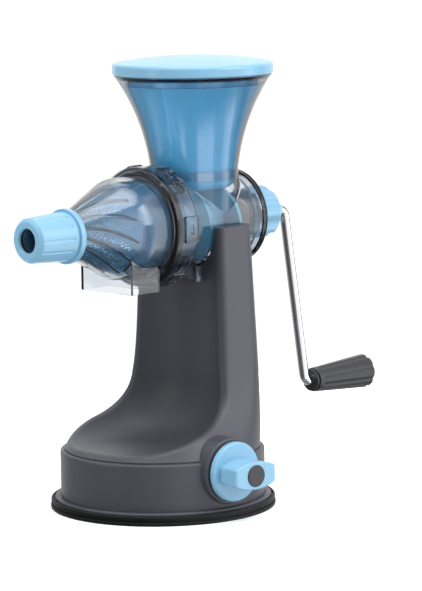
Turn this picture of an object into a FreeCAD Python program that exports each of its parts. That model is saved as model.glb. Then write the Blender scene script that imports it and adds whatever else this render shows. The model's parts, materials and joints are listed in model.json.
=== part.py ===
import FreeCAD, Part
import math
import os

# Manual wheatgrass juicer, in millimetres.
# +Z is up, the pulp nozzle points to -Y and the crank is at +Y.
# The origin is the centre of the base's underside, on the surface that it stands on.

os.makedirs("parts", exist_ok=True)
Vec = FreeCAD.Vector

# ---------------------------------------------------------------- driving dimensions
# fits
slip = 0.3                # gap between pieces that move past each other
turn_gap = 0.05           # radial clearance of a shaft in its bore
seat_gap = 0.1            # clearance of a boss or gasket in its seat
bleed = 1.0               # how far a cut runs out past the face that it opens

# suction knob, whose spindle points a little forward of +X
knob_angle = -4.0
knob_radius = 19.6
knob_lift = 4.2           # from the lip up to the knob's edge
knob_stand = 3.8          # back of the knob outside the foot's wall
disc_thick = 3.7
wing_reach = 18.7         # height of the wing over the disc
wing_half = 17.0          # half length of the wing at its face
wing_root = 14.4          # half length of the wing at the disc
wing_middle = 9.2         # half height in the middle
wing_end = 5.6            # half height at the ends
wing_draft = 0.8          # how much lower the ends are at the disc
wing_round = 2.0
wing_edge = 1.2
disc_round = 1.5
cap_radius = 7.1
cap_depth = 1.6
cap_proud = 0.7
cap_round = 0.5
boss_rim = 2.2            # boss behind the knob, outside the knob
boss_gap = 1.6            # and this far behind it
boss_root = 11.0          # how deep that boss is rooted in the plinth
boss_round = 1.0
spigot_wall = 4.0         # round the spindle, between boss and knob
bearing_radius = 12.0     # bearing behind the wall, for the spindle
bearing_depth = 9.0
spindle_radius = 4.5
square_half = 3.0         # square end of the spindle
square_depth = 8.0
cam_throw = 4.0
cam_pin = 2.2
cam_web = 3.0             # thickness of the spindle's eccentric
cam_front = 6.0           # from the middle of the foot to that eccentric
cam_rim = 0.4             # of the eccentric outside its pin

# foot of the base
skin = 3.0                # wall of the dark moulding
foot_radius = 68.0
foot_over = 7.2           # top of the foot over the knob's axis
foot_round = 1.6
lip_reach = 4.0           # lip outside the foot's wall
lip_depth = 2.4
lip_round = 1.0
crease = 0.6              # groove between the lip and the wall
plinth_inset = 3.0
plinth_rise = 4.0         # glass floor over the top of the foot

# rubber ring and suction pad
rubber_reach = 7.0        # ring outside the foot's wall
rubber_width = 13.0
rubber_height = 5.6       # the foot stands this high
rubber_rim = 1.0          # rim round the lip
rim_width = 1.8
rubber_plug = 5.0         # inner edge, inside the foot
rubber_round = 0.8
groove_low = 2.4
groove_wide = 1.4
groove_deep = 1.2
rubber_step = 0.4         # ring's upper half inside its lower half
pad_gap = 0.6
pad_edge = 1.0
pad_thick = 2.5
pad_taper = 8.0           # width of the pad's thinner edge
pad_core = 9.0
pad_core_top = 6.0

# yoke that lifts the pad
yoke_half = 9.0
yoke_depth = 9.0
yoke_bottom = 20.0
yoke_stem = 4.4
yoke_pad = 8.0            # radius of the stem's foot
yoke_pad_thick = 2.0
yoke_round = 1.0
yoke_roof = 1.8
slot_gap = 0.25           # room round the eccentric pin
guide_wall = 2.5          # ribs beside the yoke
guide_gap = 0.5
guide_top = 12.0          # over the glass floor, before the scoop trims it
plate_gap = 2.0           # from the eccentric to the plate that carries the spindle
plate_wall = 4.0

# scoop for the glass, turned about its own upright axis
glass_y = -36.0
scoop_flat = 29.0
scoop_fillet = 36.0

# column
column_half = 40.0        # half width at the top
column_back = 51.0
column_front = -20.0
column_corner = 10.0
column_spread = 6.0       # how much wider each side is at the foot
column_lean = 4.0         # how much further back the foot is
column_round = 4.0        # edge between the outside and the scoop
column_drop = 1.7         # top of the column under the head's axis
flare_power = 7           # how sharply the sides flare into the plinth
front_power = 5           # and the hidden front
flare_flat = 0.5          # straight stretch left in the plinth's outline

# juicing head, turned about a level axis
axis_z = 187.7
barrel_radius = 30.4
barrel_wall = 2.5
barrel_front = -14.0
bead_gap = 0.6            # from the throat's fillet to the rear rim
bead = 0.9                # rear rim outside the barrel
bead_width = 3.0
neck_step = 2.6           # collar at the barrel's front
neck_fall = 4.0           # slope from that collar down to the barrel
lug_count = 3             # bayonet
lug_angle = 50.0          # one bayonet lug
lug_width = 4.0
cover_step = 3.6          # front cover outside the barrel
cover_wall = 2.0
cone_start = -39.0        # where the cover starts to narrow
cone_end = -84.0
cone_tip = 12.5
cone_round = 22.0
tip_step = 0.6            # nozzle's root inside the cone's tip
tip_face = 1.0
flange_step = 2.2         # flange outside the cover
flange_core = 1.2         # the same without its gasket
flange_width = 2.5
gasket = 1.4              # thickness of the cover's gasket
strainer_wall = 1.4
ring_step = 3.3           # lock ring outside the flange
ring_front = -21.2
ring_back = -1.2
ring_lip = 1.6
ring_bevel = 2.2
ring_round = 2.0
ring_rear_round = 1.2
tab_half = 9.0
tab_width = 12.9
tab_rise = 1.0
tab_round = 2.0
tab_edge = 1.0
tab_hole_half = 3.2       # oval hollow in each tab
tab_hole_width = 2.8
tab_hole_depth = 1.8
tab_count = 6
nozzle_radius = 11.0
nozzle_bore = 8.0
nozzle_cap_front = -116.0
nozzle_cap_wall = 2.3
nozzle_cap_lap = 4.0      # over the cone's tip
nozzle_cap_nose = 12.2
nozzle_cap_shoulder = 14.6
nozzle_cap_body = 16.2
nozzle_cap_rim = 18.0
nozzle_cap_collar = 4.4   # width of that rim
nozzle_cap_mouth = 15.6   # inside the rim, over the cone
mouth_throat = 13.2
mouth_depth = 2.4         # before the cone's tip
hole_step = 0.2           # cap's hole inside the nozzle's bore
hole_bevel = 1.4
cap_flutes = 12
cap_flute = 2.2
cap_flute_z = 16.1
cap_flute_slope = 0.055
chute_half = 24.5
chute_front = -48.0
chute_back = -22.0
chute_drop = 6.2          # bottom of the chute under the cover
chute_wall = 1.8
chute_round = 1.0
outlet_half = 15.0        # opening between the cone and the chute
outlet_front = 6.0        # behind the chute's front
outlet_back = 5.0         # before its back
keel_half = 14.0
keel_drop = 8.8           # bottom of the keel under the barrel
keel_front = 0.5
keel_back = 40.0
keel_wall = 2.0
keel_pocket = 22.0

# ribs and slots of the strainer
rib_count = 12
rib_height = 1.3
rib_half = 1.4
rib_root = 0.6            # how deep a rib is rooted in the wall
rib_twist = 42.0          # turn of a rib over its length
rib_front = 4.0           # from the cone's tip to the first end of a rib
rib_rear = 5.0            # and from its other end to the cone's start
slot_width = 0.7
slot_length = 3.4
slot_pitch = 2.6
slot_tilt = 35.0
slot_front = 8.0          # from the cone's tip to the first slot
slot_rear = 6.0
slot_reach = 4.0          # cut on both sides of the wall

# hopper, turned about an upright axis
throat_front = 4.6        # front of the hopper's throat
throat_inset = 1.0        # throat inside the barrel's outline
throat_wall = 2.0
throat_round = 3.0
seam_rise = 3.9           # joint between hopper and barrel, over the barrel
lap = 6.0                 # depth of that joint
hopper_height = 63.0
hopper_rim = 52.8
hopper_hollow = 4.2       # how far the flare's curve bends inwards

# lid and pusher
lid_over = 0.8            # lid outside the hopper's rim
lid_side = 5.0            # straight part of the side
lid_shoulder = 2.6        # rounding over it
lid_crown = 4.2           # dome over that
lid_skirt = 0.8
lid_bevel = 0.6
lid_seat = 1.2            # skirt inside the hopper's rim
lid_gap = 0.5             # hollow inside the pusher's neck
pusher_gap = 0.5
pusher_wall = 2.0
pusher_dip = 5.7          # pusher's rim under the auger's top
pusher_round = 8.0
pusher_deck = 2.0         # pusher's floor over the barrel
pusher_shoulder = 6.0     # under the rim of the hopper
pusher_step = 3.0
pusher_scallop = 1.2      # gap between the pusher and the auger

# auger and shaft
auger_gap = 0.9           # in the barrel
auger_cone_gap = 0.6      # in the strainer
auger_pitch = 27.0
auger_core = 13.0
auger_collar = 14.0
auger_collar_width = 4.0
auger_rest = 8.0          # from the auger's end to the barrel's
auger_tip = -80.0
core_start = -12.0        # where the core starts to swell
core_swell = 5.0          # depth of the flight where the cone starts
core_blend = 12.0
tip_radius = 4.4
tip_round = 1.0
flight_wall = 2.6
flight_sunk = 1.4         # root of the blade inside the core's tip
flight_over = 6.0         # swept past its outline, which then trims it
shaft_radius = 5.0
shaft_front = -12.0
shaft_round = 0.8

# rear end
bush_wall = 2.5
bush_lip = 3.0
bush_lip_width = 1.6
rear_plug = 6.0           # how far the rear cover reaches into the barrel
rear_wall = 2.0
rear_dome = 4.2           # rear cover behind the barrel
rear_seal = 1.4
rear_inset = 0.4          # rear cover inside the barrel's outline
rear_round = 2.4
rear_boss = 3.5
rear_boss_length = 8.0
rear_boss_foot = 1.5
rear_boss_round = 1.0
seal_proud = 1.1
seal_round = 0.5

# crank
hub_radius = 18.0
hub_stand = 10.0          # from the barrel's end to the hub
hub_length = 25.0
hub_bore = 18.0           # depth of the shaft in the hub
hub_lobes = 8
lobe_depth = 2.6
hub_bevel = 1.5
hub_bevel_width = 2.5
hub_slope = 7.0
hub_round = 5.0
hub_edge = 2.0
hub_nose = 8.0
nose_root = 9.5
nose_sunk = 4.0
nose_wall = 1.6
washer = 1.2
washer_reach = 1.0        # outside the bush
pin_radius = 1.5
pin_reach = 12.0
pin_behind = 9.0          # cross pin behind the hub's front
rod_radius = 3.5
rod_bend = 6.0
rod_straight = 6.0        # from the hub's nose to the arm's upper corner
arm_lean = 19.0           # how far the arm leans out over its drop
crank_throw = 122.5
grip_stand = 7.6          # from the arm's lower corner to the grip
grip_length = 51.7
grip_tip = 9.3
grip_small = 8.3
grip_large = 11.7
grip_point = 2.0
grip_socket = 2.9         # room round the rod's end
grip_plug = 3.0
grip_edge = 0.8
grip_end_round = 1.0
socket_depth = 9.0
flute_count = 8
flute_radius = 3.4
flute_depth = 0.8
flute_start = 4.0
collar_length = 2.0
collar_radius = 7.6
collar_round = 0.6
retainer_width = 2.4
retainer_gap = 0.4        # inside the grip's socket
retainer_lip = 0.9

# screws
screw_radius = 1.6
screw_head = 6.5
screw_head_depth = 3.0
screw_head_slope = 1.1
screw_head_rim = 1.2
screw_depth = 4.6
screw_room = 0.4          # hole under the screw's end
screw_y = 41.0
boss_pin = 4.5
knob_screw = 1.75
knob_screw_head = 4.0
knob_screw_seat = 9.2     # under the wing's face
knob_screw_start = 3.0    # shank's end over the back of the knob
cross_half = 0.5          # half width of its cross slot
cross_rim = 0.8

# ---------------------------------------------------------------- worked out from these
lip_radius = foot_radius + lip_reach
lip_top = rubber_height + lip_depth
rubber_radius = foot_radius + rubber_reach
rubber_bore = rubber_radius - rubber_width
plinth_radius = foot_radius - plinth_inset
knob_z = lip_top + knob_lift + knob_radius
foot_top = knob_z + foot_over
plinth_floor = foot_top + plinth_rise
scoop_radius = scoop_flat + scoop_fillet
column_top = axis_z - column_drop
knob_back = foot_radius + knob_stand
knob_face = knob_back + disc_thick
wing_face = knob_face + wing_reach
slot_low = cam_throw * math.sqrt(0.5)
slot_half = cam_pin + slot_gap
barrel_bore = barrel_radius - barrel_wall
neck_radius = barrel_radius + neck_step
lug_front = barrel_front + gasket + seat_gap
cover_radius = barrel_radius + cover_step
flange_radius = cover_radius + flange_step
flange_back = barrel_front - gasket
flange_front = flange_back - flange_width
pocket_radius = flange_radius + slip
ring_radius = flange_radius + ring_step
nozzle_end = nozzle_cap_front + nozzle_cap_wall + slip + gasket
strainer_outer = cover_wall + slip + rib_height
strainer_inner = strainer_outer + strainer_wall
cradle_floor = axis_z - barrel_radius - skin
keel_bottom = axis_z - barrel_radius - keel_drop
chute_bottom = axis_z - cover_radius - chute_drop
screw_x = keel_half - 5.0
throat_radius = barrel_radius - throat_inset
hopper_y = throat_front + throat_radius
barrel_back = hopper_y + throat_radius + throat_round + bead_gap + bead_width
auger_back = barrel_back - auger_rest
throat_bore = throat_radius - throat_wall
seam_z = axis_z + barrel_radius + seam_rise
hopper_top = seam_z + hopper_height
lid_radius = hopper_rim + lid_over
auger_radius = barrel_bore - auger_gap
pusher_inset = throat_wall + pusher_gap
pusher_bottom = axis_z + auger_radius - pusher_dip
bush_radius = shaft_radius + bush_wall
hub_front = barrel_back + hub_stand
rod_start = hub_front + hub_bore
rod_turn_y = hub_front + hub_length + hub_nose + rod_straight
grip_z = axis_z - crank_throw
grip_y = rod_turn_y + arm_lean
grip_start = grip_y + grip_stand
grip_end = grip_start + grip_length
rod_end = grip_end - grip_plug
socket_radius = rod_radius + grip_socket


# ---------------------------------------------------------------- helpers
def save(name, shape):
    """One piece, or one group of identical pieces, goes in one file."""
    if len(shape.Solids) == 1:
        shape = shape.Solids[0]
    shape.exportStep("parts/" + name + ".step")


def box(x0, x1, y0, y1, z0, z1):
    return Part.makeBox(x1 - x0, y1 - y0, z1 - z0, Vec(x0, y0, z0))


def rod_x(radius, x0, x1, y=0.0, z=knob_z):
    return Part.makeCylinder(radius, x1 - x0, Vec(x0, y, z), Vec(1, 0, 0))


def rod_y(radius, y0, y1, x=0.0, z=axis_z):
    return Part.makeCylinder(radius, y1 - y0, Vec(x, y0, z), Vec(0, 1, 0))


def rod_z(radius, z0, z1, x=0.0, y=0.0):
    return Part.makeCylinder(radius, z1 - z0, Vec(x, y, z0), Vec(0, 0, 1))


def rounded_path(corners, closed):
    """Straight runs between corners, which are (point, radius) and get a tangent arc of that radius."""
    count = len(corners)
    turns = []
    for i, (point, radius) in enumerate(corners):
        if radius == 0 or (not closed and i in (0, count - 1)):
            turns.append((point, None, point))
            continue
        before = (corners[i - 1][0] - point).normalize()
        after = (corners[(i + 1) % count][0] - point).normalize()
        half = before.getAngle(after) / 2
        reach = radius / math.tan(half)
        inward = (before + after).normalize()
        middle = point + inward * (radius / math.sin(half) - radius)
        turns.append((point + before * reach, middle, point + after * reach))
    edges = []
    for i, (arrive, middle, leave) in enumerate(turns):
        if middle is not None:
            edges.append(Part.Arc(arrive, middle, leave).toShape())
        if closed or i < count - 1:
            edges.append(Part.LineSegment(leave, turns[(i + 1) % count][0]).toShape())
    return Part.Wire(edges)


def turned_y(corners, z=axis_z):
    """A solid turned about the level axis, from (y, radius) corners with an optional rounding."""
    path = [(Vec(0, c[0], z + c[1]), c[2] if len(c) > 2 else 0) for c in corners]
    return Part.Face(rounded_path(path, True)).revolve(Vec(0, 0, z), Vec(0, 1, 0), 360)


def turned_z(corners):
    """A solid turned about the base's axis, from (radius, z) corners with an optional rounding."""
    path = [(Vec(c[0], 0, c[1]), c[2] if len(c) > 2 else 0) for c in corners]
    return Part.Face(rounded_path(path, True)).revolve(Vec(0, 0, 0), Vec(0, 0, 1), 360)


def turned_hopper(edges):
    """A solid turned about the hopper's axis, from the edges of its section."""
    face = Part.Face(Part.Wire(Part.__sortEdges__(edges)))
    return face.revolve(Vec(0, hopper_y, 0), Vec(0, 0, 1), 360)


def section_lines(points):
    """Straight edges of the hopper's section, through (radius, z) points."""
    return Part.makePolygon([Vec(r, hopper_y, z) for r, z in points]).Edges


def fillet_near(shape, radius, keep):
    """Round every edge that the test picks."""
    edges = [e for e in shape.Edges if keep(e)]
    return shape.makeFillet(radius, edges)


def about_axis(shape, degrees):
    copy = shape.copy()
    copy.rotate(Vec(0, 0, axis_z), Vec(0, 1, 0), degrees)
    return copy


def to_knob(shape):
    """From a layout along +X to the knob's own direction."""
    copy = shape.copy()
    copy.rotate(Vec(0, 0, 0), Vec(0, 0, 1), knob_angle)
    return copy


def mirrored(shape):
    """The piece and its mirror image across the middle of the object."""
    return [shape, shape.mirror(Vec(0, 0, 0), Vec(1, 0, 0))]


# ---------------------------------------------------------------- base housing
def scoop(grow):
    """The hollow for the glass: flat floor, round fillet and upright wall."""
    wall = scoop_radius + grow
    floor = plinth_floor - grow
    high = column_top + 20.0
    corners = [
        (Vec(0, glass_y, floor), 0),
        (Vec(wall, glass_y, floor), scoop_fillet + grow),
        (Vec(wall, glass_y, high), 0),
        (Vec(0, glass_y, high), 0),
    ]
    return Part.Face(rounded_path(corners, True)).revolve(Vec(0, glass_y, 0), Vec(0, 0, 1), 360)


def column_section(share, height, inset):
    """A rounded rectangle that grows into the plinth's circle at the bottom."""
    rest = 1.0 - share
    flare = rest ** flare_power
    side = column_half + column_spread * rest
    side += (plinth_radius - column_half - column_spread) * flare
    back = column_back + column_lean * rest
    back += (plinth_radius - column_back - column_lean) * flare
    front = column_front - (plinth_radius + column_front) * rest ** front_power
    corner = column_corner + (plinth_radius - flare_flat - column_corner) * flare
    side -= inset
    corners = [(side, back - inset), (-side, back - inset), (-side, front + inset), (side, front + inset)]
    return rounded_path([(Vec(x, y, height), corner - inset) for x, y in corners], True)


def column(inset, bottom, top):
    """The column's outside, lofted up from the plinth."""
    wires = []
    for share in (0.0, 0.07, 0.15, 0.27, 0.45, 0.7, 1.0):
        wires.append(column_section(share, bottom + share * (top - bottom), inset))
    return Part.makeLoft(wires, True, False)


def column_edge(edge):
    """The upright edges where the column's outside meets the scoop."""
    b = edge.BoundBox
    wall = plinth_floor + scoop_fillet
    tall = abs(b.ZMin - wall) < 0.1 and abs(b.ZMax - column_top) < 0.1
    return tall and b.YMax < glass_y + scoop_radius - 1.0


def knob_boss():
    """A flat round boss carries the knob, and runs back into the plinth's slope."""
    face = knob_back - boss_gap
    boss = rod_x(knob_radius + boss_rim, plinth_radius - boss_root, face)
    boss = fillet_near(boss, boss_round, lambda e: abs(e.CenterOfMass.x - face) < 0.01)
    spigot = rod_x(spindle_radius + spigot_wall, face, knob_back - slip)
    return to_knob(boss.fuse(spigot)).cut(scoop(0.0))


def make_base_housing():
    foot = turned_z([
        (0, rubber_height),
        (lip_radius, rubber_height),
        (lip_radius, lip_top, lip_round),
        (foot_radius + crease, lip_top),
        (foot_radius + crease, lip_top - crease),
        (foot_radius, lip_top - crease),
        (foot_radius, foot_top, foot_round),
        (plinth_radius, foot_top),
        (plinth_radius, foot_top + bleed),
        (0, foot_top + bleed),
    ])
    loft_top = column_top + 4.0
    outer = foot.fuse(column(0.0, foot_top + bleed, loft_top))
    outer = outer.cut(scoop(0.0))
    outer = outer.cut(rod_z(2 * foot_radius, column_top, column_top + 30))
    outer = fillet_near(outer.removeSplitter(), column_round, column_edge)
    outer = outer.fuse(knob_boss())
    outer = outer.cut(rod_y(barrel_radius, -2 * foot_radius, 2 * foot_radius))
    hollow = column(skin, foot_top - skin, loft_top)
    hollow = hollow.cut(scoop(skin))
    hollow = hollow.cut(rod_z(2 * foot_radius, cradle_floor, loft_top + 30))
    hollow = hollow.fuse(rod_z(foot_radius - skin, 0, foot_top - skin))
    hub = to_knob(rod_x(bearing_radius, foot_radius - bearing_depth, foot_radius))
    body = outer.cut(hollow.cut(hub))
    low = knob_z - square_depth
    high = plinth_floor + guide_top
    half = yoke_depth / 2 + guide_gap
    near = yoke_half + slip
    plate_x = cam_front + cam_web + plate_gap
    plate = box(plate_x, plate_x + plate_wall, -near, near, low, high)
    guide = box(-half, half, near, near + guide_wall, low, high)
    other = box(-half, half, -near - guide_wall, -near, low, high)
    ribs = to_knob(Part.makeCompound([plate, guide, other])).cut(scoop(bleed))
    body = body.fuse(ribs.Solids)
    body = body.cut(to_knob(rod_x(spindle_radius + turn_gap, cam_front, knob_back)))
    hole = rod_z(boss_pin + seat_gap, cradle_floor - 2 * skin, axis_z, screw_x, screw_y)
    return body.cut(mirrored(hole)).removeSplitter()


# ---------------------------------------------------------------- rubber foot and suction
def make_base_ring():
    top = rubber_height + rubber_rim
    groove_high = groove_low + groove_wide
    step = rubber_radius - groove_deep
    return turned_z([
        (rubber_bore, 0),
        (rubber_radius, 0, rubber_round),
        (rubber_radius, groove_low, rubber_round / 2),
        (step, groove_low),
        (step, groove_high),
        (rubber_radius - rubber_step, groove_high, rubber_round / 2),
        (rubber_radius - rubber_step, top, rubber_round),
        (rubber_radius - rim_width, top, rubber_round / 2),
        (rubber_radius - rim_width, rubber_height),
        (lip_radius, rubber_height),
        (foot_radius - skin, rubber_height),
        (foot_radius - skin, rubber_height + rubber_plug),
        (rubber_bore, rubber_height + rubber_plug),
    ])


def make_suction_pad():
    edge = rubber_bore - pad_gap
    pad = turned_z([
        (0, 0),
        (edge, 0),
        (edge, pad_edge),
        (edge - pad_taper, pad_thick),
        (pad_core + 3.0, pad_thick),
        (pad_core, pad_core_top),
        (0, pad_core_top),
    ])
    return pad.cut(rod_z(pad_core / 3, pad_thick - bleed, pad_core_top + bleed))


def make_lift_yoke():
    slot_z = knob_z - slot_low
    half = yoke_depth / 2
    block = box(-half, half, -yoke_half, yoke_half, yoke_bottom, slot_z + slot_half + yoke_roof)
    block = fillet_near(block, yoke_round, lambda e: abs(e.BoundBox.XLength - yoke_depth) < 0.01)
    inner = slot_low - cam_pin - 2 * slip
    outer = cam_throw + cam_pin + 2 * slip
    slot = box(-yoke_depth, yoke_depth, inner, outer, slot_z - slot_half, slot_z + slot_half)
    root = pad_thick - bleed
    stem = turned_z([
        (0, root),
        (pad_core / 3, root),
        (pad_core / 3, pad_core_top),
        (yoke_pad, pad_core_top),
        (yoke_pad, pad_core_top + yoke_pad_thick),
        (yoke_stem, pad_core_top + 2 * yoke_pad_thick),
        (yoke_stem, yoke_bottom + bleed),
        (0, yoke_bottom + bleed),
    ])
    return to_knob(block.cut(slot).fuse(stem)).removeSplitter()


def make_cam_spindle():
    web_back = cam_front + cam_web
    shaft = rod_x(spindle_radius, web_back, knob_back)
    web = rod_x(cam_throw + cam_pin + cam_rim, cam_front, web_back)
    pin = rod_x(cam_pin, -yoke_depth / 2 - guide_gap, cam_front, slot_low, knob_z - slot_low)
    spindle = shaft.fuse([web, pin, spindle_square()])
    return to_knob(spindle.cut(rod_x(knob_screw, knob_back + bleed, wing_face)).removeSplitter())


def spindle_square():
    z0 = knob_z - square_half
    z1 = knob_z + square_half
    return box(knob_back, knob_back + square_depth, -square_half, square_half, z0, z1)


def wing_outline(x, half, end, middle):
    """Both long sides of the wing are arcs, and its ends are straight."""
    z = knob_z
    upper = Part.Arc(Vec(x, -half, z + end), Vec(x, 0, z + middle), Vec(x, half, z + end))
    lower = Part.Arc(Vec(x, half, z - end), Vec(x, 0, z - middle), Vec(x, -half, z - end))
    right = Part.LineSegment(Vec(x, half, z + end), Vec(x, half, z - end))
    left = Part.LineSegment(Vec(x, -half, z - end), Vec(x, -half, z + end))
    return Part.Wire([s.toShape() for s in (upper, right, lower, left)])


def make_knob():
    disc = rod_x(knob_radius, knob_back, knob_face)
    disc = fillet_near(disc, disc_round, lambda e: abs(e.CenterOfMass.x - knob_face) < 0.01)
    root = wing_outline(knob_face - bleed, wing_root, wing_end - wing_draft, wing_middle - wing_draft / 2)
    face = wing_outline(wing_face, wing_half, wing_end, wing_middle)
    wing = Part.makeLoft([root, face], True, True)
    wing = fillet_near(wing, wing_round, lambda e: e.BoundBox.XLength > wing_reach / 2)
    wing = fillet_near(wing, wing_edge, lambda e: abs(e.CenterOfMass.x - wing_face) < 0.01)
    knob = disc.fuse(wing)
    knob = knob.cut(spindle_square())
    knob = knob.cut(rod_x(knob_screw, knob_back, wing_face))
    knob = knob.cut(rod_x(knob_screw_head + slip, wing_face - knob_screw_seat, wing_face))
    knob = knob.cut(rod_x(cap_radius, wing_face - cap_depth, wing_face + bleed))
    return to_knob(knob.removeSplitter())


def make_knob_screw():
    seat = wing_face - knob_screw_seat
    top = seat + screw_head_depth
    head = rod_x(knob_screw_head, seat, top)
    cut = cross_half
    reach = knob_screw_head - cross_rim
    head = head.cut(box(top - bleed, top + bleed, -reach, reach, knob_z - cut, knob_z + cut))
    head = head.cut(box(top - bleed, top + bleed, -cut, cut, knob_z - reach, knob_z + reach))
    shank = rod_x(knob_screw, knob_back + knob_screw_start, seat)
    return to_knob(head.fuse(shank).removeSplitter())


def make_knob_cap():
    top = wing_face + cap_proud
    cap = rod_x(cap_radius, wing_face - cap_depth, top)
    return to_knob(fillet_near(cap, cap_round, lambda e: abs(e.CenterOfMass.x - top) < 0.01))


# ---------------------------------------------------------------- barrel and hopper
def make_barrel_body():
    neck_back = lug_front + lug_width + 2 * slip
    rim = barrel_radius + bead
    tube = turned_y([
        (barrel_front, 0),
        (barrel_front, neck_radius),
        (neck_back, neck_radius),
        (neck_back + neck_fall, barrel_radius),
        (barrel_back - bead_width, barrel_radius),
        (barrel_back - bead_width + bead, rim),
        (barrel_back, rim),
        (barrel_back, 0),
    ])
    lug = Part.makeCylinder(flange_radius, lug_width, Vec(0, lug_front, axis_z), Vec(0, 1, 0), lug_angle)
    lugs = [about_axis(lug, 360.0 / lug_count * i) for i in range(lug_count)]
    throat = rod_z(throat_radius, axis_z, seam_z, 0, hopper_y)
    keel_top = axis_z - barrel_radius / 2
    tall = keel_top - keel_bottom
    keel = box(-keel_half, keel_half, keel_front, keel_back, keel_bottom, keel_top)
    keel = fillet_near(keel, keel_wall, lambda e: abs(e.BoundBox.ZLength - tall) < 0.01
                       and e.CenterOfMass.y < keel_pocket)
    keel = keel.common(rod_z(scoop_radius, keel_bottom - bleed, axis_z, 0, glass_y))
    inside = keel_half - keel_wall
    keel = keel.cut(box(-inside, inside, keel_front + keel_wall, keel_pocket, keel_bottom - bleed, keel_top))
    pins = mirrored(rod_z(boss_pin, cradle_floor + seat_gap, keel_top, screw_x, screw_y))
    body = fillet_near(tube.fuse(lugs + [throat, keel] + pins), throat_round, saddle_edge)
    body = body.cut(rod_y(barrel_bore, barrel_front - bleed, barrel_back + bleed))
    body = body.cut(rod_z(throat_bore, axis_z, seam_z + bleed, 0, hopper_y))
    body = body.cut(rod_z(throat_bore + throat_wall / 2, seam_z - lap, seam_z + bleed, 0, hopper_y))
    hole = rod_z(screw_radius, cradle_floor, cradle_floor + screw_depth + screw_room, screw_x, screw_y)
    return body.cut(mirrored(hole)).removeSplitter()


def saddle_edge(edge):
    """The curve where the hopper's throat meets the barrel."""
    b = edge.BoundBox
    high = b.ZMin > axis_z - bleed and b.ZMax < axis_z + barrel_radius + bleed
    wide = max(b.XMax, -b.XMin) > throat_radius - bleed and b.XLength > throat_radius / 2
    return high and wide and b.YLength > throat_radius / 2 and b.YMin > hopper_y - throat_radius - bleed


def make_barrel_screws():
    head_z = cradle_floor - screw_head_depth
    screw = turned_z([
        (0, head_z),
        (screw_head - screw_head_slope, head_z),
        (screw_head, cradle_floor - screw_head_rim),
        (screw_head, cradle_floor),
        (screw_radius, cradle_floor),
        (screw_radius, cradle_floor + screw_depth),
        (0, cradle_floor + screw_depth),
    ])
    screw.translate(Vec(screw_x, screw_y, 0))
    return Part.makeCompound(mirrored(screw))


def flare_radius(z):
    """Radius of the hopper's outside: one arc from the throat to the rim that bends inwards."""
    run = hopper_rim - throat_radius
    chord = math.hypot(run, hopper_height)
    radius = ((chord / 2) ** 2 + hopper_hollow ** 2) / (2 * hopper_hollow)
    away = radius - hopper_hollow
    centre_r = (throat_radius + hopper_rim) / 2 + away * hopper_height / chord
    centre_z = (seam_z + hopper_top) / 2 - away * run / chord
    return centre_r - math.sqrt(radius ** 2 - (z - centre_z) ** 2)


def flare(inset, low, high):
    """The hopper's outline, moved inwards, between two heights."""
    stations = (low, (low + high) / 2, high)
    return Part.Arc(*[Vec(flare_radius(z) - inset, hopper_y, z) for z in stations]).toShape()


def make_hopper():
    plug = throat_bore + throat_wall / 2
    sides = [flare(0.0, seam_z, hopper_top), flare(throat_wall, seam_z, hopper_top)]
    foot = section_lines([
        (throat_radius, seam_z),
        (plug, seam_z),
        (plug, seam_z - lap),
        (throat_bore, seam_z - lap),
        (throat_bore, seam_z),
    ])
    rim = section_lines([(hopper_rim - throat_wall, hopper_top), (hopper_rim, hopper_top)])
    return turned_hopper(sides + foot + rim)


def pusher_neck():
    """Outer radius of the pusher's neck under the lid."""
    return flare_radius(hopper_top - pusher_shoulder) - pusher_inset - pusher_step


def make_pusher():
    outer = throat_radius - pusher_inset
    inner = outer - pusher_wall
    shoulder = hopper_top - pusher_shoulder
    inside = shoulder - pusher_wall
    neck = pusher_neck()
    deck = axis_z + barrel_radius + pusher_deck
    k = pusher_round * (1 - math.sqrt(0.5))
    corner = Part.Arc(
        Vec(outer, hopper_y, pusher_bottom + pusher_round),
        Vec(outer - k, hopper_y, pusher_bottom + k),
        Vec(outer - pusher_round, hopper_y, pusher_bottom),
    ).toShape()
    sides = [flare(pusher_inset, seam_z, shoulder), flare(pusher_inset + pusher_wall, seam_z, inside), corner]
    upper = section_lines([
        (flare_radius(shoulder) - pusher_inset, shoulder),
        (neck, shoulder),
        (neck, hopper_top),
        (neck - pusher_wall, hopper_top),
        (neck - pusher_wall, inside),
        (flare_radius(inside) - pusher_inset - pusher_wall, inside),
    ])
    lower = section_lines([
        (outer - pusher_round, pusher_bottom),
        (0, pusher_bottom),
        (0, deck),
        (inner, deck),
        (inner, seam_z),
    ])
    shank = section_lines([(outer, seam_z), (outer, pusher_bottom + pusher_round)])
    body = turned_hopper(sides + upper + lower + shank)
    return body.cut(rod_y(auger_radius + pusher_scallop, ring_back, barrel_back))


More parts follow.
